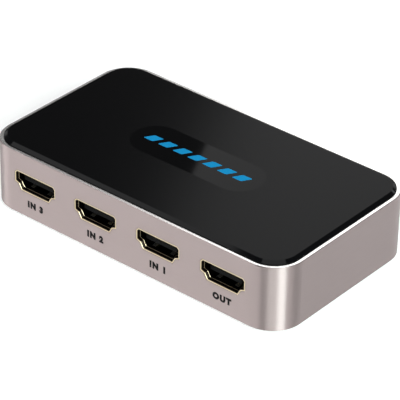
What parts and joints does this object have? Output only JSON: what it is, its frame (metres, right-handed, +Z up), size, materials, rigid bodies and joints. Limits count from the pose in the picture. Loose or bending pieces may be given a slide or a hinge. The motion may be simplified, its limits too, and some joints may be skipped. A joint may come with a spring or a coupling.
{
  "type": "hdmi switch box",
  "caption": "Flat rounded metal box with a glossy black top and a row of HDMI sockets along one side; a push button on the other side picks the source.",
  "frame": {"origin": "middle of the box on the surface that it stands on", "axes": "+X along the box towards the output socket's end, -Y out of the socket side, +Y out of the button side, +Z up"},
  "size_m": [0.107, 0.0609, 0.0221],
  "materials": {
    "anodised_aluminium": "fine-brushed champagne anodised aluminium with a bright cut rim",
    "black_acrylic": "polished black acrylic sheet",
    "adhesive_film": "double-sided adhesive film",
    "black_moulding": "moulded black plastic, fine grain",
    "black_screw": "black oxide steel screw",
    "foot_rubber": "matt black rubber",
    "solder_mask": "green solder mask on a glass-fibre board",
    "gold_shell": "gold-plated sheet metal",
    "gold_contact": "gold-plated contact",
    "nickel_shell": "nickel-plated sheet metal",
    "socket_plastic": "black glass-filled nylon",
    "button_plastic": "satin black plastic",
    "switch_nylon": "black nylon",
    "tinned_lead": "tinned copper lead",
    "indicator_epoxy": "milky clear epoxy",
    "smoked_window": "dark smoked plastic that passes infrared",
    "chip_epoxy": "black moulding epoxy",
    "can_aluminium": "bare aluminium can on a plastic base",
    "ceramic_body": "sintered ceramic",
    "resistor_glaze": "black glaze on ceramic"
  },
  "bodies": {
    "box": {"bottom_cover": "black_moulding", "ceramic_capacitors": "ceramic_body", "circuit_board": "solder_mask", "control_chip": "chip_epoxy", "control_chip_leads": "tinned_lead", "cover_screws": "black_screw", "crystal": "nickel_shell", "electrolytic_capacitors": "can_aluminium", "housing_ring": "anodised_aluminium", "indicator_1_lens": "indicator_epoxy", "indicator_2_lens": "indicator_epoxy", "indicator_3_lens": "indicator_epoxy", "indicator_leads": "tinned_lead", "infrared_receiver": "chip_epoxy", "infrared_receiver_leads": "tinned_lead", "infrared_window": "smoked_window", "input_1_contacts": "gold_contact", "input_1_insulator": "socket_plastic", "input_1_shell": "gold_shell", "input_2_contacts": "gold_contact", "input_2_insulator": "socket_plastic", "input_2_shell": "gold_shell", "input_3_contacts": "gold_contact", "input_3_insulator": "socket_plastic", "input_3_shell": "gold_shell", "output_contacts": "gold_contact", "output_insulator": "socket_plastic", "output_shell": "gold_shell", "panel_adhesive": "adhesive_film", "power_socket_contacts": "gold_contact", "power_socket_insulator": "socket_plastic", "power_socket_shell": "nickel_shell", "resistors": "resistor_glaze", "rubber_feet": "foot_rubber", "switch_base": "switch_nylon", "switch_chip": "chip_epoxy", "switch_chip_leads": "tinned_lead", "switch_cover": "nickel_shell", "switch_dome": "nickel_shell", "switch_terminals": "tinned_lead", "top_panel": "black_acrylic", "top_tray": "black_moulding", "voltage_regulator": "chip_epoxy", "voltage_regulator_leads": "tinned_lead"},
    "select_key": {"select_button": "button_plastic", "switch_plunger": "switch_nylon"}
  },
  "joints": [
    {"name": "select_press", "type": "slide", "parent": "box", "child": "select_key", "axis": [0, -1, 0], "range_m": [0, 0.0003], "stiffness_N_per_m": 3000, "springref_m": -0.0002, "deforming": ["switch_dome"]}
  ]
}
